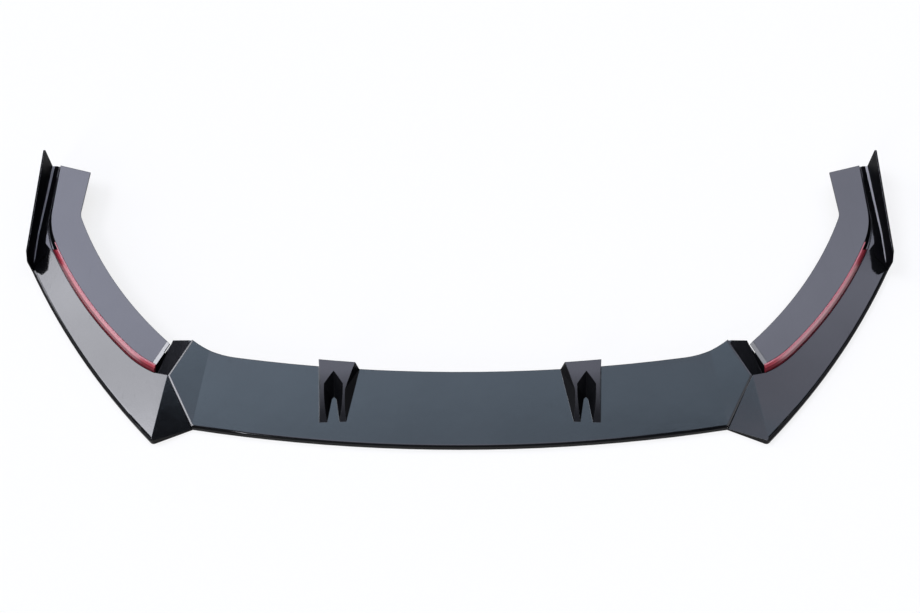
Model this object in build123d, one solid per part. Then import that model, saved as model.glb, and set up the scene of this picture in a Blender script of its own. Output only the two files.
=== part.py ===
"""Front splitter lip: a centre panel with two raised vanes, and on each side a splitter blade that
carries a raised upper blade, a red trim strip and an upright end fin.

Frame: +X across the car, -Y to the front, +Z up, origin at the middle of the bounding box's floor.
Every side piece is modelled on the +X side and mirrored.
"""
from build123d import *
import math
import os

# Overall sizes, in millimetres
OVERALL_WIDTH = 1760.0
OVERALL_DEPTH = 655.0
WALL = 3.0
SEAM_GAP = 0.12

# Centre panel in plan
FRONT_RADIUS = 3200.0
PANEL_DEPTH = 146.0
CREASE_X = 492.0
CHEVRON_POINT_X = 568.0
CHEVRON_POINT_BACK = 140.5
CHEVRON_REAR_X = 526.0
CHEVRON_REAR_BACK = 213.5
REAR_CORNER_X = 440.0

# Centre panel in section
PANEL_FRONT_HEIGHT = 15.0
PANEL_REAR_HEIGHT = 42.0
FRONT_ROUND = 5.0
END_KICK = 6.0
SKIRT_DEPTH = 32.0
SEAM_BEVEL = 3.5
SEAM_BEVEL_ANGLE = 15.0
PANEL_RIBS = (0.0, 150.0, 320.0, 425.0)
RIB_THICKNESS = 2.5
RIB_DEPTH = 9.0

# Three-pointed vanes on the centre panel
VANE_REAR_INNER_X = 193.0
VANE_REAR_OUTER_X = 275.0
VANE_FRONT_INNER_X = 218.0
VANE_FRONT_OUTER_X = 270.0
VANE_LENGTH = 111.0
VANE_RISE = 30.0
VANE_CROWN = 7.0
VANE_INNER_LEAN = 6.5
VANE_OUTER_LEAN = 2.5
VANE_KNEE_HEIGHT = 22.0
VANE_INNER_KNEE = 15.0
VANE_OUTER_KNEE = 4.5
NOTCH_X = 243.0
NOTCH_BACK = 13.0
NOTCH_SHOULDER = 20.0
NOTCH_WIDTH = 50.0
NOTCH_FLOOR_BACK = 56.0
NOTCH_FLOOR_SHOULDER = 40.0
NOTCH_FLOOR_WIDTH = 24.0

# Side blade in plan
TOOTH_X = 590.0
TOOTH_BACK = 10.5
TOOTH_ROUND = 9.0
OUTER_BULGE = 17.0
FIN_LENGTH = 262.0
END_CUT_INNER = 39.0
END_CUT_OUTER = 12.0
GUTTER_GAP = 1.0

# Side blade heights
BLADE_EDGE_HEIGHT = 17.5
RIM_HEIGHT = 12.0
RIM_ANGLE = 60.0
RIM_ROUND = 8.0
SPINE_HEIGHT = 40.0
SEAM_STEP = 10.0
REAR_BLADE_HEIGHT = 24.0
REAR_BLADE_FALL = 2.9
LEDGE_HEIGHT = 18.0
RAMP_REAR_HEIGHT = 47.0
RAMP_ANGLE = 22.0
BLADE_RIB_SHARES = (0.49, 0.68, 0.87)

# Upper blade and the line that its trim strip follows
UPPER_TOP = 50.0
UPPER_START_WIDTH = 63.0
RAMP_OVERHANG = 10.0
RAMP_TAB = 12.0
STRIP_START_X = 28.0
STRIP_START_BACK = 7.0
TRIM_END_FROM_REAR = 136.0
START_HEADING = 26.0
LONG_ARC_LEAD = 11.0
LONG_ARC_TRAIL = 8.0
START_RADIUS = 230.0
REAR_RADIUS = 180.0
UPPER_TO_FIN = 19.0
UPPER_REAR_WIDTH = 72.5
INNER_TOE = 6.0
KINK_FROM_REAR = 146.5
KINK_ROUND = 40.0
INNER_BULGE = 20.0
INNER_FLANGE = 20.0
UPPER_BEVEL = 8.0
UPPER_BEVEL_ANGLE = 20.0
POST_DIAMETER = 9.0
POST_INSET = 33.0
POST_SHARES = (0.3, 0.74)
REAR_POST_FROM_END = 75.0

# Trim strip section
STRIP_THICKNESS = 3.0
STRIP_FOOT = 29.0
STRIP_LEAN = 9.5
STRIP_RIDGE_HEIGHT = 42.0
STRIP_RIDGE_LEAN = 2.0
STRIP_TAPER = 20.0
GLUE_GAP = 0.2

# End fin
FIN_TOP = 80.0
FIN_THICKNESS = 3.0
FIN_FRONT_TOP = 66.0
FIN_CHIN_HEIGHT = 50.0
FIN_CHIN_LENGTH = 16.0
FIN_ROUND = 5.0
FOOT_WIDTH = 26.0
FOOT_NARROW_WIDTH = 15.0
FOOT_POINT_LENGTH = 30.0
FOOT_ROUND = 10.0
FOOT_NARROW_LENGTH = 110.0
FOOT_REAR_GAP = 1.0
FIN_BOSSES = (62.0, 205.0)
FIN_BOSS_DIAMETER = 8.0
FIN_BOSS_LENGTH = 9.0
FIN_BOSS_CLEARANCE = 0.3

# Fasteners and mounting holes
BOLT_DIAMETER = 6.0
BOLT_LENGTH = 16.0
BOLT_HEAD_WIDTH = 10.0
BOLT_HEAD_HEIGHT = 4.0
NUT_HEIGHT = 5.0
WASHER_DIAMETER = 12.0
WASHER_THICKNESS = 1.6
BOLT_CLEARANCE = 0.3
DRILL_LENGTH = 20.0
SPLICE_PLACES = (0.48, 0.78)
SPLICE_HEIGHT = 10.0
SCREW_DIAMETER = 4.0
SCREW_LENGTH = 14.0
FIN_SCREW_LENGTH = 8.0
SCREW_HEAD_DIAMETER = 8.0
SCREW_HEAD_HEIGHT = 2.6
SCREW_CLEARANCE = 0.1
HEAD_ROOM = 2.0
SMALL_ROUND_SIDES = 8
MOUNT_HOLE_DIAMETER = 6.5
MOUNT_HOLE_X = (110.0, 370.0)
MOUNT_HOLE_DROP = 14.0
END_HOLE_FROM_REAR = (66.0, 112.0)
END_HOLE_HEIGHT = 34.0


def toward(heading):
    """Level unit vector at a heading in degrees from +X."""
    return Vector(math.cos(math.radians(heading)), math.sin(math.radians(heading)))


def outward(heading):
    """Level unit vector to the right of a heading."""
    return toward(heading - 90)


def heading_of(run):
    """Heading in degrees of a level vector."""
    return math.degrees(math.atan2(run.Y, run.X))


# Places worked out from the sizes above
HALF_WIDTH = OVERALL_WIDTH / 2
FRONT_Y = -OVERALL_DEPTH / 2
REAR_Y = OVERALL_DEPTH / 2
BEND_Y = FRONT_Y + FRONT_RADIUS
REAR_EDGE_RADIUS = FRONT_RADIUS - PANEL_DEPTH
BEND_AXIS = Axis((0, BEND_Y, 0), (0, 0, 1))
PANEL_SLOPE = (PANEL_REAR_HEIGHT - PANEL_FRONT_HEIGHT) / PANEL_DEPTH
CREASE_ANGLE = math.asin(CREASE_X / REAR_EDGE_RADIUS)
REACH = 2 * OVERALL_WIDTH
TALL = 2 * FIN_TOP

CHEVRON_POINT = Vector(CHEVRON_POINT_X, FRONT_Y + CHEVRON_POINT_BACK)
CHEVRON_REAR = Vector(CHEVRON_REAR_X, FRONT_Y + CHEVRON_REAR_BACK)
CHEVRON_FRONT = Vector(FRONT_RADIUS * math.sin(CREASE_ANGLE), BEND_Y - FRONT_RADIUS * math.cos(CREASE_ANGLE))

TOOTH_TIP = Vector(TOOTH_X, FRONT_Y + TOOTH_BACK)
FIN_FRONT = Vector(HALF_WIDTH, REAR_Y - FIN_LENGTH)
STRIP_START = CHEVRON_POINT + Vector(STRIP_START_X, STRIP_START_BACK)
UPPER_END = STRIP_START - outward(START_HEADING) * UPPER_START_WIDTH
UPPER_OUTER_X = HALF_WIDTH - UPPER_TO_FIN
TRIM_RUN = Vector(UPPER_OUTER_X, REAR_Y - TRIM_END_FROM_REAR) - STRIP_START
MIDDLE_HEADING = heading_of(TRIM_RUN) - LONG_ARC_LEAD
REAR_HEADING = heading_of(TRIM_RUN) + LONG_ARC_TRAIL
INNER_KINK = Vector(UPPER_OUTER_X - UPPER_REAR_WIDTH, REAR_Y - KINK_FROM_REAR)
END_INNER = Vector(INNER_KINK.X - INNER_TOE, REAR_Y - END_CUT_INNER)
END_OUTER = Vector(HALF_WIDTH, REAR_Y - END_CUT_OUTER)
STRIP_SETBACK = STRIP_THICKNESS + GLUE_GAP

OUTER_CHORD = FIN_FRONT - TOOTH_TIP
OUTER_FACING = outward(heading_of(OUTER_CHORD))
OUTER_RADIUS = OUTER_BULGE / 2 + OUTER_CHORD.length ** 2 / (8 * OUTER_BULGE)
OUTER_CENTRE = (TOOTH_TIP + FIN_FRONT) * 0.5 - OUTER_FACING * (OUTER_RADIUS - OUTER_BULGE)
OUTER_TURN = 2 * math.degrees(math.asin(OUTER_CHORD.length / 2 / OUTER_RADIUS))
SPINE_DEPTH = OUTER_RADIUS - (CHEVRON_POINT - OUTER_CENTRE).length
BLADE_SLOPE = (SPINE_HEIGHT - BLADE_EDGE_HEIGHT) / SPINE_DEPTH


def raised(point, height):
    """A plan point lifted to a height."""
    return Vector(point.X, point.Y, height)


def prism(outline, bottom=0.0):
    """An outline in plan, extruded well above every piece."""
    return Pos(0, 0, bottom) * extrude(outline, TALL)


def below(first, second, third, lift=0.0):
    """Everything under the plane through three points, with the plane moved along its normal."""
    normal = (second - first).cross(third - first).normalized()
    if normal.Z < 0:
        normal = normal * -1
    plane = Plane(origin=first + normal * lift, z_dir=normal)
    return plane * Box(REACH, REACH, REACH, align=(Align.CENTER, Align.CENTER, Align.MAX))


def straight(*points):
    """Straight edges through points, without those of no length."""
    return [Line(first, second) for first, second in zip(points, points[1:]) if (second - first).length]


def small_bar(diameter):
    """Outline of a small round piece, with flat sides inside the circle."""
    return RegularPolygon(diameter / 2, SMALL_ROUND_SIDES)


def small_hole(diameter):
    """Outline of a small round hole, with flat sides outside the circle."""
    return RegularPolygon(diameter / 2, SMALL_ROUND_SIDES, major_radius=False)


def rear_edge_y(x):
    """Y of the centre panel's rear edge at a distance from the middle."""
    return BEND_Y - math.sqrt(REAR_EDGE_RADIUS ** 2 - x ** 2)


# Centre panel
def panel_height(y, x=0.0):
    """Height of the panel's top face over a plan point of its bent middle."""
    return PANEL_FRONT_HEIGHT + (FRONT_RADIUS - math.hypot(x, BEND_Y - y)) * PANEL_SLOPE


def end_height(point):
    """Height of the panel's top face over a plan point of its right end, which kicks up."""
    turn = math.degrees(CREASE_ANGLE)
    across = toward(turn)
    back = outward(turn) * -1
    reach = point - CHEVRON_FRONT
    kick = math.tan(math.radians(END_KICK))
    return PANEL_FRONT_HEIGHT + reach.dot(back) * PANEL_SLOPE + reach.dot(across) * kick


def panel_section(inset):
    """Section of the panel block on the middle plane, moved inward by a wall."""
    front = FRONT_Y + inset
    back = FRONT_Y + OVERALL_DEPTH / 3
    drop = inset * math.hypot(1, PANEL_SLOPE)
    corners = [
        (front, -TALL / 2),
        (front, panel_height(front) - drop),
        (back, panel_height(back) - drop),
        (back, -TALL / 2),
    ]
    outline = make_face(Polyline(*corners, close=True))
    nose = outline.vertices().sort_by(Axis.X)[:2].sort_by(Axis.Y)[-1]
    return Plane.YZ * fillet(nose, FRONT_ROUND - inset)


def panel_block(inset):
    """The panel as a solid block: a bent middle and two straight ends that kick up."""
    section = panel_section(inset)
    turn = math.degrees(CREASE_ANGLE)
    block = revolve(section, BEND_AXIS, 2 * turn).rotate(BEND_AXIS, -turn)
    kick = math.radians(END_KICK)
    end_length = CHEVRON_POINT_X - CREASE_X + 2 * PANEL_DEPTH
    for side in (-1, 1):
        level = toward(side * turn) * (side * math.cos(kick))
        end_face = section.rotate(BEND_AXIS, side * turn)
        block += extrude(end_face, end_length, dir=raised(level, math.sin(kick)))
    return block


def panel_outline():
    """The panel in plan, with its pointed ends, and open past the front edge."""
    corner = Vector(REAR_CORNER_X, rear_edge_y(REAR_CORNER_X))
    middle = Vector(0, rear_edge_y(0))
    ahead = Vector(CHEVRON_FRONT.X, FRONT_Y - PANEL_DEPTH)
    rear_arc = ThreePointArc(middle, Vector(REAR_CORNER_X / 2, rear_edge_y(REAR_CORNER_X / 2)), corner)
    corner_arc = TangentArc(corner, CHEVRON_REAR, tangent=rear_arc % 1)
    end = Polyline(CHEVRON_REAR, CHEVRON_POINT, CHEVRON_FRONT, ahead)
    half = rear_arc.edges() + corner_arc.edges() + end.edges()
    other = [edge for edge in mirror(Curve(half), about=Plane.YZ).edges()]
    front = Line(ahead, Vector(-ahead.X, ahead.Y))
    return make_face(half + other + front.edges())


def vane(inset):
    """One three-pointed vane: a pad between kneed walls, with a pointed notch that opens to the front."""
    edge = rear_edge_y(VANE_REAR_OUTER_X)
    rear = edge + PANEL_DEPTH / 10
    front = edge - VANE_LENGTH
    base = panel_height(front, VANE_FRONT_OUTER_X)
    top = PANEL_REAR_HEIGHT + VANE_RISE

    crown = Vector((edge + front) / 2, (base + top) / 2 + VANE_CROWN - inset)
    ridge = ThreePointArc((edge, top - inset), crown, (front, base - inset))
    under = Polyline(
        (front, base - inset),
        (front, -TALL / 2),
        (rear, -TALL / 2),
        (rear, top - inset),
        (edge, top - inset),
    )
    pad = extrude(Plane.YZ * make_face(ridge.edges() + under.edges()), HALF_WIDTH)
    walls = [
        (VANE_REAR_INNER_X, VANE_FRONT_INNER_X, VANE_INNER_LEAN, VANE_INNER_KNEE),
        (VANE_REAR_OUTER_X, VANE_FRONT_OUTER_X, -VANE_OUTER_LEAN, -VANE_OUTER_KNEE),
    ]
    for rear_x, front_x, lean, knee_lean in walls:
        foot = Vector(rear_x, edge, PANEL_REAR_HEIGHT)
        toe = Vector(front_x, front, base)
        corner = Vector(rear_x + lean, edge, top)
        knee = (foot + toe) * 0.5 + Vector(knee_lean, 0, VANE_KNEE_HEIGHT)
        pad &= below(foot, toe, knee, -inset) + below(foot, corner, knee, -inset)

    ahead = Vector(0, -VANE_LENGTH, 0)
    apex = Vector(NOTCH_X, rear_edge_y(NOTCH_X) - NOTCH_BACK, top)
    floor_apex = Vector(NOTCH_X, apex.Y - NOTCH_FLOOR_BACK, base)
    notch = Pos(NOTCH_X, front, top) * Box(2 * VANE_LENGTH, 4 * VANE_LENGTH, TALL)
    for side in (-1, 1):
        shoulder = apex + Vector(side * NOTCH_WIDTH / 2, -NOTCH_SHOULDER, 0)
        floor_shoulder = floor_apex + Vector(side * NOTCH_FLOOR_WIDTH / 2, -NOTCH_FLOOR_SHOULDER, 0)
        notch -= below(apex, floor_apex, shoulder, -inset)
        notch -= below(floor_apex, floor_shoulder, shoulder, -inset)
        notch -= below(shoulder, floor_shoulder, shoulder + ahead, -inset)
    return pad - notch


def panel_form(inset):
    """The panel's filled form inside a wall."""
    right_vane = vane(inset)
    block = panel_block(inset) + right_vane + mirror(right_vane, about=Plane.YZ)
    outline = panel_outline()
    if inset:
        outline = offset(outline, -inset)
    return block & prism(outline, -inset)


def panel_rib(x, hollow):
    """A stiffening web across the panel's underside."""
    turn = math.degrees(math.asin(x / FRONT_RADIUS))
    web = Pos(0, FRONT_Y, 0) * Box(RIB_THICKNESS, REACH, TALL)
    return (web.rotate(BEND_AXIS, turn) & hollow) - Pos(0, 0, -WALL - RIB_DEPTH) * panel_block(0)


def splice_places():
    """Bolt places on the joint between the centre panel and the side blade."""
    run = CHEVRON_POINT - CHEVRON_FRONT
    places = [raised(CHEVRON_FRONT + run * share, SPLICE_HEIGHT) for share in SPLICE_PLACES]
    across = outward(heading_of(run))
    return [Plane(origin=place + across * (SEAM_GAP / 2), z_dir=across) for place in places]


def splice_holes():
    """Clearance holes for the splice bolts."""
    outline = small_hole(BOLT_DIAMETER + 2 * BOLT_CLEARANCE)
    hole = extrude(outline, DRILL_LENGTH / 2, both=True)
    return [place * hole for place in splice_places()]


def mount_holes():
    """Screw holes through the rear wall of the centre panel."""
    holes = []
    for x in MOUNT_HOLE_X:
        place = Plane(origin=(x, rear_edge_y(x), PANEL_REAR_HEIGHT - MOUNT_HOLE_DROP), z_dir=(0, 1, 0))
        hole = place * Cylinder(MOUNT_HOLE_DIAMETER / 2, DRILL_LENGTH)
        holes += [hole, mirror(hole, about=Plane.YZ)]
    return holes


def under_seam_bevel(corner):
    """Everything under the bevel on the edge from the panel's point to a corner of its right end."""
    run = (corner - CHEVRON_POINT).normalized()
    across = Vector(run.Y, -run.X)
    inward = across * math.copysign(SEAM_BEVEL, -across.X)
    first = CHEVRON_POINT + inward
    second = corner + inward
    drop = SEAM_BEVEL * math.tan(math.radians(SEAM_BEVEL_ANGLE))
    third = raised(CHEVRON_POINT, end_height(CHEVRON_POINT) - drop)
    return below(raised(first, end_height(first)), raised(second, end_height(second)), third)


def centre_panel():
    """The middle moulding: a shell with walls that hang from the plate."""
    hollow = panel_form(WALL)
    walls_below = Pos(0, 0, -SKIRT_DEPTH) * panel_block(0)
    panel = panel_form(0) - hollow - walls_below
    for corner in (CHEVRON_FRONT, CHEVRON_REAR):
        bevelled = under_seam_bevel(corner)
        panel &= bevelled
        panel &= mirror(bevelled, about=Plane.YZ)
    for x in PANEL_RIBS:
        rib = panel_rib(x, hollow)
        panel += rib
        if x:
            panel += mirror(rib, about=Plane.YZ)
    for hole in splice_holes():
        panel -= hole
        panel -= mirror(hole, about=Plane.YZ)
    for hole in mount_holes():
        panel -= hole
    return panel


# Trim line that the upper blade, its ledge and the strip share
def rise_across(first, second):
    """Share of an arc's radius that it covers in X between two headings."""
    return math.sin(math.radians(second)) - math.sin(math.radians(first))


def middle_radius():
    """Radius of the trim line's long arc, so that the line ends beside the fin."""
    first_step = START_RADIUS * rise_across(START_HEADING, MIDDLE_HEADING)
    last_step = REAR_RADIUS * rise_across(REAR_HEADING, 90)
    span = UPPER_OUTER_X - STRIP_START.X - first_step - last_step
    return span / rise_across(MIDDLE_HEADING, REAR_HEADING)


def trim_arcs(shift):
    """The trim line's three tangent arcs, moved outward."""
    start = STRIP_START + outward(START_HEADING) * shift
    first = JernArc(start, toward(START_HEADING), START_RADIUS + shift, MIDDLE_HEADING - START_HEADING)
    long = JernArc(first @ 1, first % 1, middle_radius() + shift, REAR_HEADING - MIDDLE_HEADING)
    last = JernArc(long @ 1, long % 1, REAR_RADIUS + shift, 90 - REAR_HEADING)
    return [first, long, last]


def trim_heading(share):
    """Heading of the trim line at a share of its turn along the strip."""
    return START_HEADING + share * (REAR_HEADING - START_HEADING)


def trim_point(heading, shift):
    """The point of the trim line's long arcs at a heading, moved outward."""
    first, long = trim_arcs(shift)[:2]
    if heading < MIDDLE_HEADING:
        return first @ ((heading - START_HEADING) / (MIDDLE_HEADING - START_HEADING))
    return long @ ((heading - MIDDLE_HEADING) / (REAR_HEADING - MIDDLE_HEADING))


def along_trim(corners, edges):
    """A section of (outward, height) corners swept along edges of the trim line."""
    first = edges[0]
    heading = first % 0
    right = Vector(heading.Y, -heading.X)
    plane = Plane(origin=first @ 0, x_dir=right, z_dir=heading * -1)
    section = plane * corners
    return sweep(section, Wire(edges))


def inner_edge(shift):
    """The side's inner edge in plan, from the rear end to the pocket, moved toward the strip."""
    start = UPPER_END + outward(START_HEADING) * shift
    stop = END_INNER + (END_OUTER - END_INNER).normalized() * shift
    before = (INNER_KINK - UPPER_END).normalized()
    after = (END_INNER - INNER_KINK).normalized()
    halfway = (before + after).normalized()
    kink = INNER_KINK + Vector(halfway.Y, -halfway.X) * (shift / halfway.dot(before))
    return [Line(stop, kink), SagittaArc(start, kink, -INNER_BULGE)], kink


def rear_end_y(x):
    """Y of the side's slanted rear end at a distance from the middle."""
    run = END_OUTER - END_INNER
    return END_INNER.Y + run.Y * (x - END_INNER.X) / run.X


def upper_outline(shift, inner_shift, past_rear=0.0, past_front=0.0):
    """The upper blade in plan, between the trim line and the inner edge, both moved toward +X."""
    arcs = trim_arcs(shift)
    start = arcs[0] @ 0
    stop = arcs[-1] @ 1
    inner, kink = inner_edge(inner_shift)
    inner_start = inner[1] @ 0
    inner_stop = inner[0] @ 0
    back = Vector(0, past_rear)
    ahead = toward(START_HEADING) * -past_front
    rear_end = straight(stop, Vector(stop.X, rear_end_y(stop.X)) + back, inner_stop + back, inner_stop)
    front_end = straight(inner_start, inner_start + ahead, start + ahead, start)
    outline = make_face([*arcs, *rear_end, *inner, *front_end])
    return fillet(outline.vertices().sort_by_distance(kink)[0], KINK_ROUND)


# Side blade
def side_outline():
    """The side blade in plan, up to the seam with the centre panel."""
    inside = Vector(CREASE_X, CHEVRON_POINT.Y)
    inner, kink = inner_edge(INNER_FLANGE)
    ramp_corner = UPPER_END - outward(START_HEADING) * RAMP_OVERHANG
    gutter_x = UPPER_OUTER_X + GLUE_GAP + GUTTER_GAP
    gutter = [Vector(HALF_WIDTH, REAR_Y), Vector(gutter_x, REAR_Y), Vector(gutter_x, rear_end_y(gutter_x))]
    edges = [
        Line(CHEVRON_FRONT, TOOTH_TIP),
        SagittaArc(TOOTH_TIP, FIN_FRONT, -OUTER_BULGE),
        *Polyline(FIN_FRONT, *gutter, inner[0] @ 0).edges(),
        *inner,
        *Polyline(inner[1] @ 0, ramp_corner, CHEVRON_REAR, inside, CHEVRON_FRONT).edges(),
    ]
    outline = make_face(edges)
    outline = fillet(outline.vertices().sort_by_distance(kink)[0], KINK_ROUND)
    outline = fillet(outline.vertices().sort_by_distance(TOOTH_TIP)[0], TOOTH_ROUND)
    tab_outer = UPPER_END + outward(START_HEADING) * (2 * INNER_FLANGE)
    reach = toward(START_HEADING) * RAMP_TAB
    outline += make_face(Polyline(ramp_corner, tab_outer, tab_outer + reach, ramp_corner + reach, close=True))
    return outline - offset(panel_outline(), SEAM_GAP, kind=Kind.INTERSECTION)


def blade_block(lift):
    """Everything under the outer blade, which falls to a softened rim along its arc."""
    steep = math.tan(math.radians(RIM_ANGLE))
    shoulder = (BLADE_EDGE_HEIGHT - RIM_HEIGHT) / (steep - BLADE_SLOPE)
    depth = OVERALL_DEPTH / 2
    floor = RIM_HEIGHT - TALL * steep
    corners = [
        (OUTER_RADIUS + TALL, floor),
        (OUTER_RADIUS - shoulder, RIM_HEIGHT + shoulder * steep),
        (OUTER_RADIUS - depth, BLADE_EDGE_HEIGHT + depth * BLADE_SLOPE),
        (OUTER_RADIUS - depth, floor),
    ]
    section = make_face(Polyline(*corners, close=True))
    rim = section.vertices().sort_by_distance(Vector(*corners[1]))[0]
    section = fillet(rim, RIM_ROUND)
    if lift:
        section = offset(section, lift)
    side = Vector(OUTER_FACING.Y, -OUTER_FACING.X)
    axis = Axis(OUTER_CENTRE, (0, 0, 1))
    placed = Plane(origin=OUTER_CENTRE, x_dir=OUTER_FACING, z_dir=side) * section
    return revolve(placed, axis, 3 * OUTER_TURN).rotate(axis, -1.5 * OUTER_TURN)


def blade_tops(lift):
    """The blade's sloped faces as solids that reach down: outer blade, tooth facet and rear run."""
    tip = raised(TOOTH_TIP, BLADE_EDGE_HEIGHT)
    point = raised(CHEVRON_POINT, SPINE_HEIGHT)
    seam = raised(CHEVRON_FRONT, PANEL_FRONT_HEIGHT - SEAM_STEP)
    rear = Vector(0, (FIN_FRONT.Y + REAR_Y) / 2, REAR_BLADE_HEIGHT)
    fall = Vector(0, 1, -math.tan(math.radians(REAR_BLADE_FALL)))
    return [
        blade_block(lift),
        below(tip, point, seam, lift),
        below(rear, rear + Vector(1, 0, 0), rear + fall, lift),
    ]


def pocket_outline():
    """The air ramp beside the seam, in plan."""
    past = UPPER_END - STRIP_START
    beyond = CHEVRON_REAR + (CHEVRON_REAR - UPPER_END) + past
    return make_face(Polyline(STRIP_START, UPPER_END + past, beyond, CHEVRON_POINT, close=True))


def pocket(inset):
    """The air ramp as a cut."""
    outline = pocket_outline()
    if inset:
        outline = offset(outline, inset, kind=Kind.INTERSECTION)
    rear = raised(CHEVRON_REAR, RAMP_REAR_HEIGHT)
    climb = Vector(0, 1, math.tan(math.radians(RAMP_ANGLE)))
    return prism(outline) - below(rear, rear + Vector(1, 0, 0), rear + climb, -inset)


def side_form(inset):
    """The side blade's filled form inside a wall."""
    outline = side_outline()
    ramp = pocket_outline()
    if inset:
        outline = offset(outline, -inset)
        ramp = offset(ramp, -inset)
    outer_blade, facet, rear_run = blade_tops(-inset)
    form = prism(outline, -inset) & outer_blade & facet & (rear_run + prism(ramp))
    ledge = upper_outline(GLUE_GAP + inset, -RAMP_OVERHANG, WALL, inset)
    form -= prism(ledge, LEDGE_HEIGHT - inset)
    return form - pocket(inset)


def post_places():
    """Places of the posts under the upper blade."""
    places = [trim_point(trim_heading(share), -POST_INSET) for share in POST_SHARES]
    return places + [Vector(UPPER_OUTER_X - POST_INSET, REAR_Y - REAR_POST_FROM_END)]


def boss_places():
    """Places of the bosses under the fin's foot."""
    x = HALF_WIDTH - (FOOT_NARROW_WIDTH + FIN_THICKNESS) / 2
    return [Vector(x, FIN_FRONT.Y + along) for along in FIN_BOSSES]


def blade_rib(heading, hollow):
    """A stiffening web across the blade's underside."""
    place = Plane(origin=trim_point(heading, 0), x_dir=toward(heading), z_dir=(0, 0, 1))
    web = place * Box(RIB_THICKNESS, OVERALL_DEPTH, TALL, align=(Align.CENTER, Align.CENTER, Align.MIN))
    first, second, third = blade_tops(-WALL - RIB_DEPTH)
    return (web & hollow) - (first & second & third)


def side_blade():
    """The outer splitter moulding."""
    hollow = side_form(WALL)
    blade = side_form(0) - hollow
    for share in BLADE_RIB_SHARES:
        blade += blade_rib(trim_heading(share), hollow)
    for hole in splice_holes():
        blade -= hole
    screw_hole = extrude(small_hole(SCREW_DIAMETER + 2 * BOLT_CLEARANCE), TALL, both=True)
    head_room = extrude(small_hole(SCREW_HEAD_DIAMETER + 2 * HEAD_ROOM), -TALL)
    for place in post_places():
        blade -= Pos(place) * screw_hole
        blade -= Pos(raised(place, LEDGE_HEIGHT - WALL)) * head_room
    boss_hole = extrude(small_hole(FIN_BOSS_DIAMETER + 2 * FIN_BOSS_CLEARANCE), TALL, both=True)
    for place in boss_places():
        blade -= Pos(place) * boss_hole
    return blade


# Upper blade and trim strip
def strip_slope(shift):
    """Section above the strip's sloped face, as (outward, height) corners."""
    foot = (-shift, STRIP_FOOT)
    top = (-shift - STRIP_LEAN, UPPER_TOP)
    past = (top[0] - STRIP_LEAN, 2 * UPPER_TOP - STRIP_FOOT)
    corners = [foot, past, (UPPER_TOP, past[1]), (UPPER_TOP, STRIP_FOOT)]
    return make_face(Polyline(*corners, close=True))


def upper_form(inset):
    """The upper blade's filled form inside a wall, without its inner flange."""
    outline = upper_outline(-STRIP_SETBACK, INNER_FLANGE)
    if inset:
        outline = offset(outline, -inset)
    form = Pos(0, 0, LEDGE_HEIGHT - inset) * extrude(outline, UPPER_TOP - LEDGE_HEIGHT)
    slope_angle = math.atan2(UPPER_TOP - STRIP_FOOT, STRIP_LEAN)
    arcs = trim_arcs(0)
    lead = Line(arcs[0] @ 0 - toward(START_HEADING) * UPPER_START_WIDTH, arcs[0] @ 0)
    tail = Line(arcs[-1] @ 1, arcs[-1] @ 1 + Vector(0, FIN_LENGTH))
    slope = strip_slope(STRIP_SETBACK + inset / math.sin(slope_angle))
    return form - along_trim(slope, [lead, *arcs, tail])


def end_holes():
    """Screw holes through the upper blade's inner wall, near its rear end."""
    holes = []
    for along in END_HOLE_FROM_REAR:
        wall = Vector(INNER_KINK.X + INNER_FLANGE, REAR_Y - along, END_HOLE_HEIGHT)
        holes.append(Plane(origin=wall, z_dir=(1, 0, 0)) * Cylinder(MOUNT_HOLE_DIAMETER / 2, DRILL_LENGTH))
    return holes


def under_upper_bevel():
    """Everything under the bevel on the top edge of the upper blade's front end."""
    back = toward(START_HEADING) * UPPER_BEVEL
    drop = UPPER_BEVEL * math.tan(math.radians(UPPER_BEVEL_ANGLE))
    first = raised(UPPER_END + back, UPPER_TOP)
    second = raised(STRIP_START + back, UPPER_TOP)
    return below(first, second, raised(UPPER_END, UPPER_TOP - drop))


def upper_blade():
    """The raised cover on the side blade, with the posts that its screws go into."""
    hollow = upper_form(WALL)
    cover = upper_form(0) - hollow
    flange = upper_outline(-STRIP_SETBACK - STRIP_LEAN - WALL, 0)
    cover += Pos(0, 0, UPPER_TOP - WALL) * extrude(flange, WALL)
    cover &= under_upper_bevel()
    post = Pos(0, 0, LEDGE_HEIGHT) * extrude(small_bar(POST_DIAMETER), UPPER_TOP - LEDGE_HEIGHT - WALL / 2)
    pilot = Pos(0, 0, LEDGE_HEIGHT) * extrude(small_hole(SCREW_DIAMETER + 2 * SCREW_CLEARANCE), SCREW_LENGTH)
    for place in post_places():
        cover += Pos(place) * post
        cover -= Pos(place) * pilot
    for hole in end_holes():
        cover -= hole
    return cover


def trim_strip():
    """The red insert on the sloped wall, with a ridge along its face."""
    corners = [
        (0, LEDGE_HEIGHT),
        (0, STRIP_FOOT),
        (-STRIP_RIDGE_LEAN, STRIP_RIDGE_HEIGHT),
        (-STRIP_LEAN, UPPER_TOP),
        (-STRIP_LEAN - STRIP_THICKNESS, UPPER_TOP),
        (-STRIP_THICKNESS, STRIP_FOOT),
        (-STRIP_THICKNESS, LEDGE_HEIGHT),
    ]
    strip = along_trim(make_face(Polyline(*corners, close=True)), trim_arcs(0)[:2])
    rear = trim_arcs(0)[1] @ 1
    taper = math.degrees(math.atan2(UPPER_TOP - STRIP_FOOT, STRIP_TAPER))
    tip = Plane(origin=raised(rear, STRIP_FOOT), x_dir=toward(REAR_HEADING), z_dir=(0, 0, 1))
    above = Box(REACH, STRIP_TAPER, TALL, align=(Align.CENTER, Align.CENTER, Align.MIN))
    return strip - tip * Rot(0, taper, 0) * above


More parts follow.
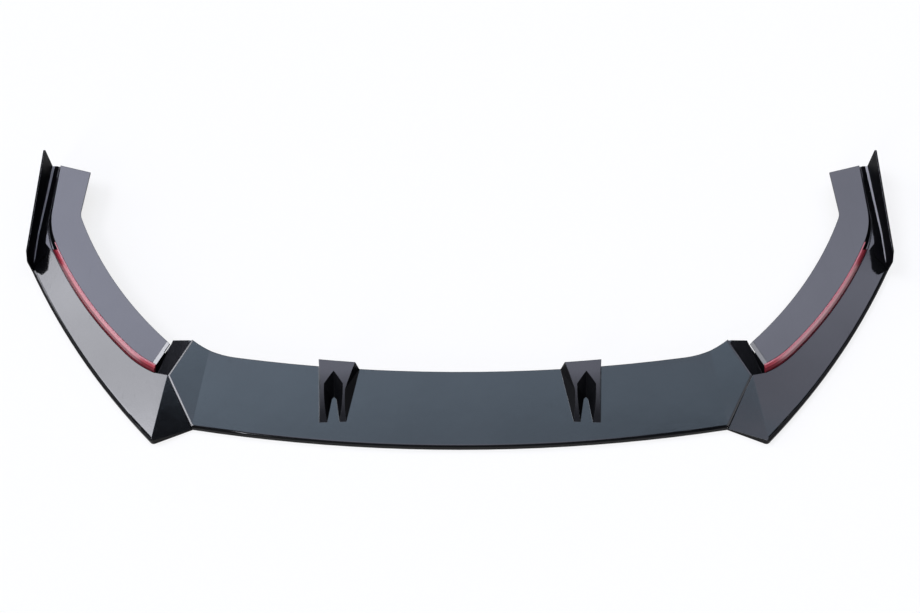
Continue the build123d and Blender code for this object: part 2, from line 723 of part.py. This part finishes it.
# End fin
def end_fin():
    """The upright end plate with its foot and bosses."""
    rear_y = REAR_Y - FOOT_REAR_GAP
    narrow_x = HALF_WIDTH - FOOT_NARROW_WIDTH
    foot_corners = [
        FIN_FRONT,
        Vector(HALF_WIDTH, rear_y),
        Vector(narrow_x, rear_y),
        Vector(narrow_x, FIN_FRONT.Y + FOOT_NARROW_LENGTH),
        Vector(HALF_WIDTH - FOOT_WIDTH, FIN_FRONT.Y + FOOT_POINT_LENGTH),
    ]
    foot_outline = make_face(Polyline(*foot_corners, close=True))
    foot = prism(fillet(foot_outline.vertices().sort_by_distance(foot_corners[-1])[0], FOOT_ROUND))
    for top in blade_tops(FIN_THICKNESS):
        foot &= top

    side_corners = [
        (FIN_FRONT.Y, 0),
        (REAR_Y, 0),
        (REAR_Y, FIN_TOP),
        (FIN_FRONT.Y + FIN_CHIN_LENGTH, FIN_FRONT_TOP),
        (FIN_FRONT.Y, FIN_CHIN_HEIGHT),
    ]
    side_view = make_face(Polyline(*side_corners, close=True))
    for corner in side_corners[2:]:
        side_view = fillet(side_view.vertices().sort_by_distance(Vector(*corner))[0], FIN_ROUND)
    wall = extrude(Plane.YZ.offset(HALF_WIDTH - FIN_THICKNESS) * side_view, FIN_THICKNESS)

    blade = blade_tops(0)
    fin = foot + wall - (blade[0] & blade[2])
    for place in boss_places():
        boss = Pos(place) * extrude(small_bar(FIN_BOSS_DIAMETER), TALL)
        for top in blade_tops(FIN_THICKNESS / 2):
            boss &= top
        bottom = boss_bottom(place)
        boss -= Box(REACH, REACH, bottom, align=(Align.CENTER, Align.CENTER, Align.MIN))
        pilot = extrude(small_hole(SCREW_DIAMETER + 2 * SCREW_CLEARANCE), FIN_SCREW_LENGTH)
        fin += boss
        fin -= Pos(raised(place, bottom)) * pilot
    return fin


def boss_bottom(place):
    """Height of a fin boss's lower end: just under the blade's skin."""
    column = Pos(place) * extrude(small_bar(FIN_BOSS_DIAMETER), TALL)
    for top in blade_tops(0):
        column &= top
    return column.bounding_box().max.Z - FIN_BOSS_LENGTH


# Fasteners
def screw(length):
    """A pan head screw that points up, with its head's top at the origin."""
    head = extrude(small_bar(SCREW_HEAD_DIAMETER), -SCREW_HEAD_HEIGHT)
    return head + extrude(small_bar(SCREW_DIAMETER), length)


def splice_fasteners():
    """Bolts, washers and nuts of the splice joint."""
    grip = WALL + SEAM_GAP / 2
    hexagon = RegularPolygon(BOLT_HEAD_WIDTH / 2, 6, major_radius=False)
    shank = Pos(0, 0, -grip - WASHER_THICKNESS) * extrude(small_bar(BOLT_DIAMETER), BOLT_LENGTH)
    head = Pos(0, 0, -grip - WASHER_THICKNESS) * extrude(hexagon, -BOLT_HEAD_HEIGHT)
    bolt = shank + head
    ring = small_bar(WASHER_DIAMETER) - small_hole(BOLT_DIAMETER + 2 * BOLT_CLEARANCE)
    washers = [Pos(0, 0, -grip - WASHER_THICKNESS) * extrude(ring, WASHER_THICKNESS)]
    washers.append(Pos(0, 0, grip) * extrude(ring, WASHER_THICKNESS))
    nut_face = hexagon - small_hole(BOLT_DIAMETER + 2 * SCREW_CLEARANCE)
    nut = Pos(0, 0, grip + WASHER_THICKNESS) * extrude(nut_face, NUT_HEIGHT)
    places = splice_places()
    return {
        "splice_bolts": [place * bolt for place in places],
        "splice_washers": [place * washer for place in places for washer in washers],
        "splice_nuts": [place * nut for place in places],
    }


def screw_fasteners():
    """Screws of the upper blade and of the fin, with the fin's washers."""
    ledge_bottom = LEDGE_HEIGHT - WALL
    ring = small_bar(WASHER_DIAMETER) - small_hole(SCREW_DIAMETER + 2 * SCREW_CLEARANCE)
    fin_washer = extrude(ring, -WASHER_THICKNESS)
    fin_screw = Pos(0, 0, -WASHER_THICKNESS) * screw(FIN_SCREW_LENGTH)
    posts = [raised(place, ledge_bottom) for place in post_places()]
    bosses = [raised(place, boss_bottom(place)) for place in boss_places()]
    return {
        "upper_blade_screws": [Pos(place) * screw(SCREW_LENGTH) for place in posts],
        "fin_screws": [Pos(place) * fin_screw for place in bosses],
        "fin_washers": [Pos(place) * fin_washer for place in bosses],
    }


def nodes():
    """Every named piece, with the right side mirrored to the left."""
    side_pieces = {
        "side_blade": [side_blade()],
        "upper_blade": [upper_blade()],
        "trim_strip": [trim_strip()],
        "end_fin": [end_fin()],
        **splice_fasteners(),
        **screw_fasteners(),
    }
    pieces = {"centre_panel": [centre_panel()]}
    for name, solids in side_pieces.items():
        pieces[name + "_right"] = solids
        pieces[name + "_left"] = [mirror(solid, about=Plane.YZ) for solid in solids]
    return pieces


os.makedirs("parts", exist_ok=True)
for node, shapes in nodes().items():
    solids = [solid for shape in shapes for solid in shape.solids()]
    export_step(Compound(children=solids) if len(solids) > 1 else solids[0], f"parts/{node}.step")
    print(node, len(solids), "solids", round(sum(solid.volume for solid in solids) / 1000, 1), "cm3")
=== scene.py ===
"""Looks for the front splitter lip: gloss black mouldings, red trim strips and zinc fasteners, seen from
the front and above on a white floor."""
import math

import bpy
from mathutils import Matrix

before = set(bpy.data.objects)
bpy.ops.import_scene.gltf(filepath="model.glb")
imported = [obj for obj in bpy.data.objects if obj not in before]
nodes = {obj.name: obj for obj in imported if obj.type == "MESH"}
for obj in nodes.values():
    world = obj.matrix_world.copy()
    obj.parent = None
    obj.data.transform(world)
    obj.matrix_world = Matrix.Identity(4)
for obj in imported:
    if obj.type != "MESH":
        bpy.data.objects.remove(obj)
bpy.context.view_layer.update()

# View: an angle in degrees, places in metres, lens and sensor in millimetres
CAMERA_ELEVATION = 60.0
CAMERA_DISTANCE = 2.647
CAMERA_TARGET_Y = -0.0105
CAMERA_LENS = 50.87
SENSOR_WIDTH = 36.0

# Floor
FLOOR_SIZE = 120.0
FLOOR_DROP = 0.0005
FLOOR_WHITE = (0.9, 0.9, 0.9, 1.0)
FLOOR_GLOW = 0.8

# Noise values: the usual span, and the peaks that make specks and scratches
USUAL_NOISE = (0.3, 0.7)
DUST_PEAKS = (0.70, 0.80)
SCRATCH_PEAKS = (0.66, 0.74)
SPARKLE_PEAKS = (0.62, 0.78)

# All finishes: how wide, in metres, an edge is shaded as round
EDGE_SOFTNESS = 0.0012

# Black plastics
DULL_SPECULAR = 0.02

# Gloss black of the mouldings
GLOSS_TINTS = ((0.0020, 0.0022, 0.0026), (0.0040, 0.0042, 0.0048))
GLOSS_ROUGHNESS = (0.30, 0.42)
DUST_TINT = (0.10, 0.10, 0.105)
DUST_COVER = 0.35
DUST_ROUGHNESS = 0.4
OPEN_FACES = (0.76, 0.84)
OPEN_LEAN = 0.3
STEEP_COAT = 0.05
SIDE_FACES = (0.9, 0.97)
SIDE_COAT = 0.8
SCRATCH_COAT = 0.9
SCRATCH_STRETCH = (1.0, 0.02, 1.0)
CLOUD_COAT = (0.93, 1.0)
GLOSS_COAT_ROUGHNESS = 0.08
GLOSS_COAT_IOR = 1.6
WAVE_SHARE = 5.0

# Satin black of the fins, with a painted highlight as a light line in the fold between wall and foot, in
# metres
SATIN_TINTS = ((0.002, 0.002, 0.0025), (0.004, 0.004, 0.005))
SATIN_ROUGHNESS = (0.42, 0.55)
FOLD_PAINTED_HIGHLIGHT_TINT = (0.40, 0.40, 0.42)
FOLD_X = 0.877
FOLD_FADE = 0.0002
FOLD_WIDTH = (0.0022, 0.0052)
FOLD_LENGTH_Y = (0.08, 0.30)
FOLD_END_Y = (0.080, 0.090)
FLAT_FACES = (0.85, 0.95)

# Red of the strips: lacquered above a height in metres, with painted shade below it as a darker red
CROWN_Z = (0.0452, 0.0464)
RED_TINTS = ((0.29, 0.038, 0.052), (0.42, 0.056, 0.072))
RED_PAINTED_SHADES = ((0.12, 0.012, 0.019), (0.17, 0.018, 0.026))
SPARKLE_TINT = (0.55, 0.08, 0.10)
SPARKLE_COVER = 0.3
RED_ROUGHNESS = (0.16, 0.24)
RED_COAT = (0.05, 1.0)
RED_COAT_ROUGHNESS = 0.2
RED_SPECULAR = 0.4

# Zinc of the fasteners
ZINC_TINTS = ((0.42, 0.43, 0.45), (0.62, 0.62, 0.61))
ZINC_ROUGHNESS = (0.28, 0.42)

# Sky: a direction is a unit vector, across to the right, back and up, and reach is across without its sign.
# A span of two numbers goes from no light to full light. A span of three is lit between the first two and
# fades within the third outside them.
FILL = 0.03
BANK_COLOUR = (0.97, 1.0, 1.23)
TEAL_COLOUR = (0.79, 1.0, 1.26)
TEAL_SPAN = {"back": (0.04, 0.12, 0.05)}
LAMP_COLOUR = (0.97, 0.98, 1.06, 1.0)

# Cool bank: its level from the front to the back, its panels overhead, on the right and at the rear, and
# its dim places, each with its depth
BANK_TOP = 4.0
BANK_STOPS = (
    (-0.65, 0.20),
    (-0.45, 0.75),
    (-0.30, 1.20),
    (-0.10, 2.00),
    (-0.02, 2.10),
    (0.05, 1.36),
    (0.09, 1.92),
    (0.20, 2.20),
    (0.32, 3.10),
    (0.50, 3.55),
    (0.62, 3.20),
)
BANK_SIDES = (-0.27, 0.4)
BANK_SIDE_LEVELS = (1.2, 0.7)
BANK_HORIZON = {"up": (0.58, 0.70)}
BANK_PANELS = (
    {"reach": (0.42, 0.32), "back": (0.2, 0.13)},
    {"across": (0.46, 0.64, 0.05), "back": (0.09, 0.34, 0.05)},
    {"reach": (0.42, 0.34), "back": (0.43, 0.60, 0.05)},
)
BANK_GAPS = (
    ({"across": (0.20, 0.46, 0.04), "back": (0.055, 0.035)}, 1.0),
    ({"across": (-0.46, -0.24, 0.04), "back": (0.055, 0.035)}, 0.45),
    ({"reach": (0.165, 0.195), "back": (-0.12, -0.19)}, 0.88),
)

# White panels: the large one on the left, which is brighter at the front and at the rear, and then low left,
# middle left, low right, small right, small left, front left and front right, each with its level
LEFT_PANEL = {"across": (-0.42, -0.48), "back": (-0.16, 0.36, 0.06), "up": (0.68, 0.74)}
LEFT_FRONT = (0.13, 0.19)
LEFT_FRONT_LEVELS = (9.6, 6.8)
LEFT_REAR = (0.24, 0.32)
WHITE_PANELS = (
    ({"across": (-0.865, -0.885), "back": (-0.44, 0.3, 0.03), "up": (0.0, 0.32, 0.05)}, 3.4),
    ({"across": (-0.6, -0.7), "back": (0.16, 0.4, 0.05), "up": (0.3, 0.6, 0.05)}, 4.5),
    ({"across": (0.865, 0.885), "back": (-0.44, 0.05, 0.03), "up": (0.0, 0.32, 0.05)}, 2.6),
    ({"across": (0.32, 0.41, 0.02), "back": (0.14, 0.21, 0.02), "up": (0.6, 0.72)}, 12.5),
    ({"across": (-0.41, -0.32, 0.02), "back": (0.14, 0.21, 0.02), "up": (0.6, 0.72)}, 4.8),
    ({"across": (-0.5, -0.36, 0.06), "back": (-0.96, -0.7, 0.04)}, 7.0),
    ({"across": (0.44, 0.56, 0.03), "back": (-0.18, -0.08, 0.03), "up": (0.6, 0.72)}, 1.2),
)


def link(tree, output, target):
    """Join two sockets."""
    tree.links.new(output, target)


def add(tree, kind, **settings):
    """A new node with its settings."""
    node = tree.nodes.new(kind)
    for name, value in settings.items():
        setattr(node, name, value)
    return node


def parts_of(tree, vector):
    """The three parts of a vector."""
    split = add(tree, "ShaderNodeSeparateXYZ")
    link(tree, vector, split.inputs["Vector"])
    return split.outputs


def place(tree):
    """The place on the part, in metres."""
    return add(tree, "ShaderNodeTexCoord").outputs["Object"]


def facing(tree):
    """How far a face looks to the right, to the back and up, each from -1 to 1."""
    return parts_of(tree, add(tree, "ShaderNodeNewGeometry").outputs["Normal"])


def noise(tree, scale, detail=3.0, stretch=None):
    """A noise value at a scale per metre."""
    texture = add(tree, "ShaderNodeTexNoise")
    texture.inputs["Scale"].default_value = scale
    texture.inputs["Detail"].default_value = detail
    spot = place(tree)
    if stretch:
        mapping = add(tree, "ShaderNodeMapping")
        mapping.inputs["Scale"].default_value = stretch
        link(tree, spot, mapping.inputs["Vector"])
        spot = mapping.outputs["Vector"]
    link(tree, spot, texture.inputs["Vector"])
    return texture.outputs["Fac"]


def remap(tree, value, source, target=(0.0, 1.0)):
    """A value moved from one range to another, and kept inside it."""
    node = add(tree, "ShaderNodeMapRange")
    node.inputs["From Min"].default_value = source[0]
    node.inputs["From Max"].default_value = source[1]
    node.inputs["To Min"].default_value = target[0]
    node.inputs["To Max"].default_value = target[1]
    link(tree, value, node.inputs["Value"])
    return node.outputs["Result"]


def calculate(tree, operation, *values):
    """An operation on one or two values or numbers."""
    node = add(tree, "ShaderNodeMath", operation=operation)
    for socket, value in zip(node.inputs, values):
        if isinstance(value, (int, float)):
            socket.default_value = value
        else:
            link(tree, value, socket)
    return node.outputs["Value"]


def chain(tree, operation, values):
    """An operation that takes in several values or numbers, one after the other."""
    result, *others = values
    for value in others:
        result = calculate(tree, operation, result, value)
    return result


def blend(tree, factor, first, second):
    """Two colours mixed by a value."""
    node = add(tree, "ShaderNodeMix", data_type="RGBA")
    link(tree, factor, node.inputs["Factor"])
    for socket, colour in ((node.inputs["A"], first), (node.inputs["B"], second)):
        if isinstance(colour, tuple):
            socket.default_value = (*colour, 1.0)
        else:
            link(tree, colour, socket)
    return node.outputs["Result"]


def new_material(name):
    """A material with its shader."""
    material = bpy.data.materials.new(name)
    material.use_nodes = True
    tree = material.node_tree
    return material, tree, tree.nodes["Principled BSDF"]


def soft_edge_bump(tree, shader, height, strength, distance):
    """Fine relief, over edges that are shaded as slightly round."""
    edge = add(tree, "ShaderNodeBevel", samples=6)
    edge.inputs["Radius"].default_value = EDGE_SOFTNESS
    bump = add(tree, "ShaderNodeBump")
    bump.inputs["Strength"].default_value = strength
    bump.inputs["Distance"].default_value = distance
    link(tree, height, bump.inputs["Height"])
    link(tree, edge.outputs["Normal"], bump.inputs["Normal"])
    link(tree, bump.outputs["Normal"], shader.inputs["Normal"])
    link(tree, bump.outputs["Normal"], shader.inputs["Coat Normal"])


def lacquer(tree):
    """How much clear coat a face has: much if it looks up or sideways, and little on the other steep ones."""
    across, back, up = facing(tree)
    lean = calculate(tree, "ABSOLUTE", across)
    away = calculate(tree, "ADD", back, lean)
    open_side = calculate(tree, "SUBTRACT", up, calculate(tree, "MULTIPLY", away, OPEN_LEAN))
    on_top = remap(tree, open_side, OPEN_FACES, (STEEP_COAT, 1.0))
    on_side = remap(tree, lean, SIDE_FACES, (0.0, SIDE_COAT))
    scratch = remap(tree, noise(tree, 260.0, 2.0, SCRATCH_STRETCH), SCRATCH_PEAKS, (1.0, SCRATCH_COAT))
    cloud = remap(tree, noise(tree, 6.0, 4.0), USUAL_NOISE, CLOUD_COAT)
    return chain(tree, "MULTIPLY", (calculate(tree, "MAXIMUM", on_top, on_side), scratch, cloud))


def gloss_black():
    """Black plastic with a clear coat, fine dust and a slight waviness."""
    material, tree, shader = new_material("gloss_black_plastic")
    tint = blend(tree, noise(tree, 9.0), *GLOSS_TINTS)
    dust = remap(tree, noise(tree, 1400.0, 2.0), DUST_PEAKS, (0.0, DUST_COVER))
    link(tree, blend(tree, dust, tint, DUST_TINT), shader.inputs["Base Color"])
    haze = remap(tree, noise(tree, 16.0, 5.0), USUAL_NOISE, GLOSS_ROUGHNESS)
    rough_dust = calculate(tree, "MULTIPLY", dust, DUST_ROUGHNESS)
    link(tree, calculate(tree, "ADD", haze, rough_dust), shader.inputs["Roughness"])
    link(tree, lacquer(tree), shader.inputs["Coat Weight"])
    shader.inputs["Coat Roughness"].default_value = GLOSS_COAT_ROUGHNESS
    shader.inputs["Coat IOR"].default_value = GLOSS_COAT_IOR
    shader.inputs["Specular IOR Level"].default_value = DULL_SPECULAR
    waves = calculate(tree, "MULTIPLY", noise(tree, 14.0), WAVE_SHARE)
    peel = calculate(tree, "ADD", noise(tree, 420.0, 1.0), waves)
    soft_edge_bump(tree, shader, peel, strength=0.12, distance=0.0004)
    return material


def painted_fold_highlight(tree):
    """Where the painted highlight goes: 1 on the foot of a fin along its wall, in a line that narrows to the
    front, and 0 elsewhere.
    """
    across, back, _ = parts_of(tree, place(tree))
    reach = calculate(tree, "ABSOLUTE", across)
    width = remap(tree, back, FOLD_LENGTH_Y, FOLD_WIDTH)
    near_wall = remap(tree, calculate(tree, "ADD", reach, width), (FOLD_X - FOLD_FADE, FOLD_X + FOLD_FADE))
    before_wall = remap(tree, reach, (FOLD_X + 2 * FOLD_FADE, FOLD_X))
    behind_front = remap(tree, back, FOLD_END_Y)
    flat = remap(tree, facing(tree)["Z"], FLAT_FACES)
    return chain(tree, "MULTIPLY", (near_wall, before_wall, behind_front, flat))


def satin_black():
    """Deep black satin plastic of the end fins, with a fine moulded grain and a painted highlight as a light
    line in the fold.
    """
    material, tree, shader = new_material("satin_black_plastic")
    patch = noise(tree, 30.0, 4.0)
    black = blend(tree, patch, *SATIN_TINTS)
    # the fold's light line is a painted highlight, mixed into the base colour
    link(tree, blend(tree, painted_fold_highlight(tree), black, FOLD_PAINTED_HIGHLIGHT_TINT), shader.inputs["Base Color"])
    link(tree, remap(tree, patch, USUAL_NOISE, SATIN_ROUGHNESS), shader.inputs["Roughness"])
    shader.inputs["Specular IOR Level"].default_value = DULL_SPECULAR
    soft_edge_bump(tree, shader, noise(tree, 900.0, 2.0), strength=0.2, distance=0.0002)
    return material


def trim_red():
    """Red insert with a fine metallic grain, lacquered on its crown, with painted shade as a darker red below
    it.
    """
    material, tree, shader = new_material("trim_red_gloss")
    patch = noise(tree, 24.0, 4.0)
    crown = remap(tree, parts_of(tree, place(tree))["Z"], CROWN_Z)
    body = blend(tree, patch, *RED_TINTS)
    # painted shade: a darker copy of the strip's red, used below the crown height
    painted_shade = blend(tree, patch, *RED_PAINTED_SHADES)
    sparkle = remap(tree, noise(tree, 2600.0, 2.0), SPARKLE_PEAKS, (0.0, SPARKLE_COVER))
    lit = blend(tree, sparkle, body, SPARKLE_TINT)
    link(tree, blend(tree, crown, painted_shade, lit), shader.inputs["Base Color"])
    link(tree, remap(tree, patch, USUAL_NOISE, RED_ROUGHNESS), shader.inputs["Roughness"])
    link(tree, remap(tree, crown, (0.0, 1.0), RED_COAT), shader.inputs["Coat Weight"])
    shader.inputs["Coat Roughness"].default_value = RED_COAT_ROUGHNESS
    shader.inputs["Specular IOR Level"].default_value = RED_SPECULAR
    soft_edge_bump(tree, shader, noise(tree, 500.0, 1.0), strength=0.1, distance=0.0003)
    return material


def zinc_steel():
    """Zinc plated steel with a crystalline mottle."""
    material, tree, shader = new_material("zinc_steel")
    mottle = noise(tree, 700.0, 4.0)
    link(tree, blend(tree, mottle, *ZINC_TINTS), shader.inputs["Base Color"])
    link(tree, remap(tree, mottle, USUAL_NOISE, ZINC_ROUGHNESS), shader.inputs["Roughness"])
    shader.inputs["Metallic"].default_value = 1.0
    soft_edge_bump(tree, shader, mottle, strength=0.2, distance=0.0001)
    return material


def dress():
    """Give every CAD node its finish."""
    black = gloss_black()
    fin_black = satin_black()
    red = trim_red()
    zinc = zinc_steel()
    for name, node in nodes.items():
        finish = black
        if name.startswith("end_fin"):
            finish = fin_black
        if name.startswith("trim_strip"):
            finish = red
        if name.split("_")[-2] in ("bolts", "washers", "nuts", "screws"):
            finish = zinc
        node.data.materials.clear()
        node.data.materials.append(finish)


def floor():
    """A white floor that keeps a faint shadow."""
    bpy.ops.mesh.primitive_plane_add(size=FLOOR_SIZE, location=(0, 0, -FLOOR_DROP))
    ground = bpy.context.object
    ground.name = "floor"
    material = bpy.data.materials.new("floor_white")
    material.use_nodes = True
    tree = material.node_tree
    tree.nodes.clear()
    matt = add(tree, "ShaderNodeBsdfDiffuse")
    matt.inputs["Color"].default_value = FLOOR_WHITE
    glow = add(tree, "ShaderNodeEmission")
    path = add(tree, "ShaderNodeLightPath").outputs
    rays = (path["Is Camera Ray"], path["Is Glossy Ray"], path["Is Transmission Ray"])
    seen = chain(tree, "MAXIMUM", rays)
    mix = add(tree, "ShaderNodeMixShader")
    link(tree, calculate(tree, "MULTIPLY", seen, FLOOR_GLOW), mix.inputs["Fac"])
    link(tree, matt.outputs["BSDF"], mix.inputs[1])
    link(tree, glow.outputs["Emission"], mix.inputs[2])
    output = add(tree, "ShaderNodeOutputMaterial")
    link(tree, mix.outputs["Shader"], output.inputs["Surface"])
    ground.data.materials.append(material)


def inside(tree, axes, spans):
    """How far a direction lies inside all its spans, from 0 to 1."""
    shares = []
    for axis, span in spans.items():
        if len(span) == 2:
            shares.append(remap(tree, axes[axis], span))
        else:
            low, high, fade = span
            shares.append(remap(tree, axes[axis], (low - fade, low)))
            shares.append(remap(tree, axes[axis], (high + fade, high)))
    return chain(tree, "MULTIPLY", shares)


def bank_level(tree, back):
    """The bank's brightness, which goes through its stops from the front to the back."""
    first, last = BANK_STOPS[0][0], BANK_STOPS[-1][0]
    ramp = add(tree, "ShaderNodeValToRGB")
    elements = ramp.color_ramp.elements
    elements.remove(elements[-1])
    for number, (spot, level) in enumerate(BANK_STOPS):
        share = (spot - first) / (last - first)
        element = elements[0] if number == 0 else elements.new(share)
        element.position = share
        grey = level / BANK_TOP
        element.color = (grey, grey, grey, 1.0)
    link(tree, remap(tree, back, (first, last)), ramp.inputs["Fac"])
    return calculate(tree, "MULTIPLY", ramp.outputs["Color"], BANK_TOP)


def sky_bank(tree, axes):
    """The cool panels overhead, on the right and behind the part, with dim places beside the front."""
    shares = [
        bank_level(tree, axes["back"]),
        remap(tree, axes["across"], BANK_SIDES, BANK_SIDE_LEVELS),
        inside(tree, axes, BANK_HORIZON),
        chain(tree, "MAXIMUM", [inside(tree, axes, spans) for spans in BANK_PANELS]),
    ]
    for spans, depth in BANK_GAPS:
        dip = calculate(tree, "MULTIPLY", inside(tree, axes, spans), depth)
        shares.append(calculate(tree, "SUBTRACT", 1.0, dip))
    return chain(tree, "MULTIPLY", shares)


def white_panels(tree, axes):
    """White panels: a large one on the left, low ones on both sides and small ones overhead and in front."""
    front = remap(tree, axes["back"], LEFT_FRONT, LEFT_FRONT_LEVELS)
    rear = remap(tree, axes["back"], LEFT_REAR)
    glow = calculate(tree, "ADD", front, rear)
    panels = [calculate(tree, "MULTIPLY", inside(tree, axes, LEFT_PANEL), glow)]
    for spans, level in WHITE_PANELS:
        panels.append(calculate(tree, "MULTIPLY", inside(tree, axes, spans), level))
    return chain(tree, "ADD", panels)


def studio():
    """Soft light: a cool bank over and behind the part and white panels round it."""
    world = bpy.data.worlds.new("studio")
    world.use_nodes = True
    tree = world.node_tree
    tree.nodes.clear()
    across, back, up = parts_of(tree, add(tree, "ShaderNodeTexCoord").outputs["Generated"])
    axes = {"across": across, "back": back, "up": up, "reach": calculate(tree, "ABSOLUTE", across)}

    bank = add(tree, "ShaderNodeBackground")
    teal = inside(tree, axes, TEAL_SPAN)
    link(tree, blend(tree, teal, BANK_COLOUR, TEAL_COLOUR), bank.inputs["Color"])
    link(tree, calculate(tree, "ADD", sky_bank(tree, axes), FILL), bank.inputs["Strength"])
    lamps = add(tree, "ShaderNodeBackground")
    lamps.inputs["Color"].default_value = LAMP_COLOUR
    link(tree, white_panels(tree, axes), lamps.inputs["Strength"])
    both = add(tree, "ShaderNodeAddShader")
    link(tree, bank.outputs["Background"], both.inputs[0])
    link(tree, lamps.outputs["Background"], both.inputs[1])
    output = add(tree, "ShaderNodeOutputWorld")
    link(tree, both.outputs["Shader"], output.inputs["Surface"])
    bpy.context.scene.world = world


def camera():
    """The photograph's view: from the front, looking down."""
    rise = math.radians(CAMERA_ELEVATION)
    data = bpy.data.cameras.new("camera")
    data.lens = CAMERA_LENS
    data.sensor_width = SENSOR_WIDTH
    holder = bpy.data.objects.new("camera", data)
    holder.location = (
        0.0,
        CAMERA_TARGET_Y - CAMERA_DISTANCE * math.cos(rise),
        CAMERA_DISTANCE * math.sin(rise),
    )
    holder.rotation_euler = (math.pi / 2 - rise, 0.0, 0.0)
    bpy.context.scene.collection.objects.link(holder)
    bpy.context.scene.camera = holder


dress()
floor()
studio()
camera()
bpy.context.scene.view_settings.view_transform = "Standard"
